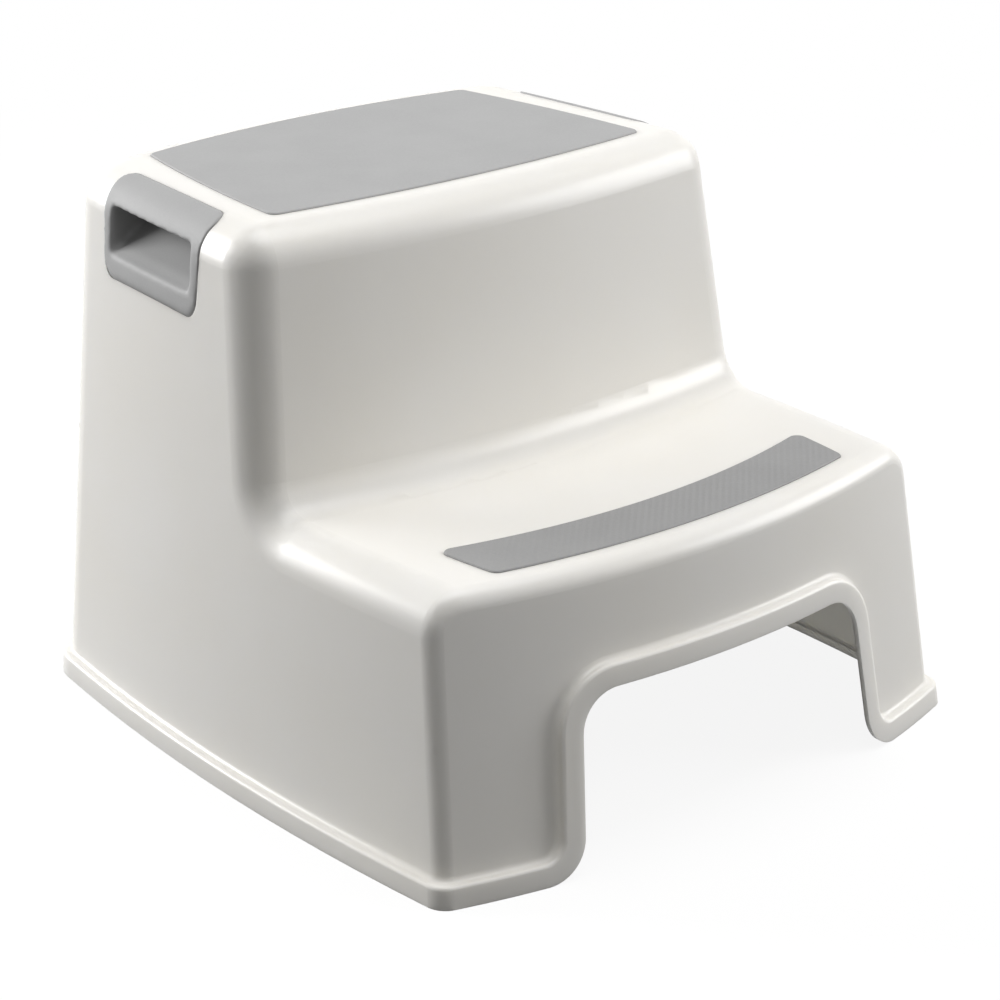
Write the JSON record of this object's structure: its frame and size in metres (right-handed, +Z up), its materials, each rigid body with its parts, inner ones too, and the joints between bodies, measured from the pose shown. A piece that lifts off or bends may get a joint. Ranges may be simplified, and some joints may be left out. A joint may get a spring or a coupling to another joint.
{
  "type": "step stool",
  "caption": "Hollow moulded plastic step stool with a lower and an upper tread, arched front, rolled foot lip, grey non-slip pads and grey finger scoops in the sides.",
  "frame": {"origin": "on the floor, at the middle of the footprint", "axes": "+Z up, -Y toward the front with the lower tread, X across"},
  "size_m": [0.3584, 0.3829, 0.2808],
  "materials": {
    "white_plastic": "satin gloss",
    "grey_rubber": "matte"
  },
  "bodies": {
    "root": {"shell": "white_plastic", "top_pad": "grey_rubber", "step_strip": "grey_rubber", "left_handle": "grey_rubber", "right_handle": "grey_rubber"}
  },
  "joints": []
}
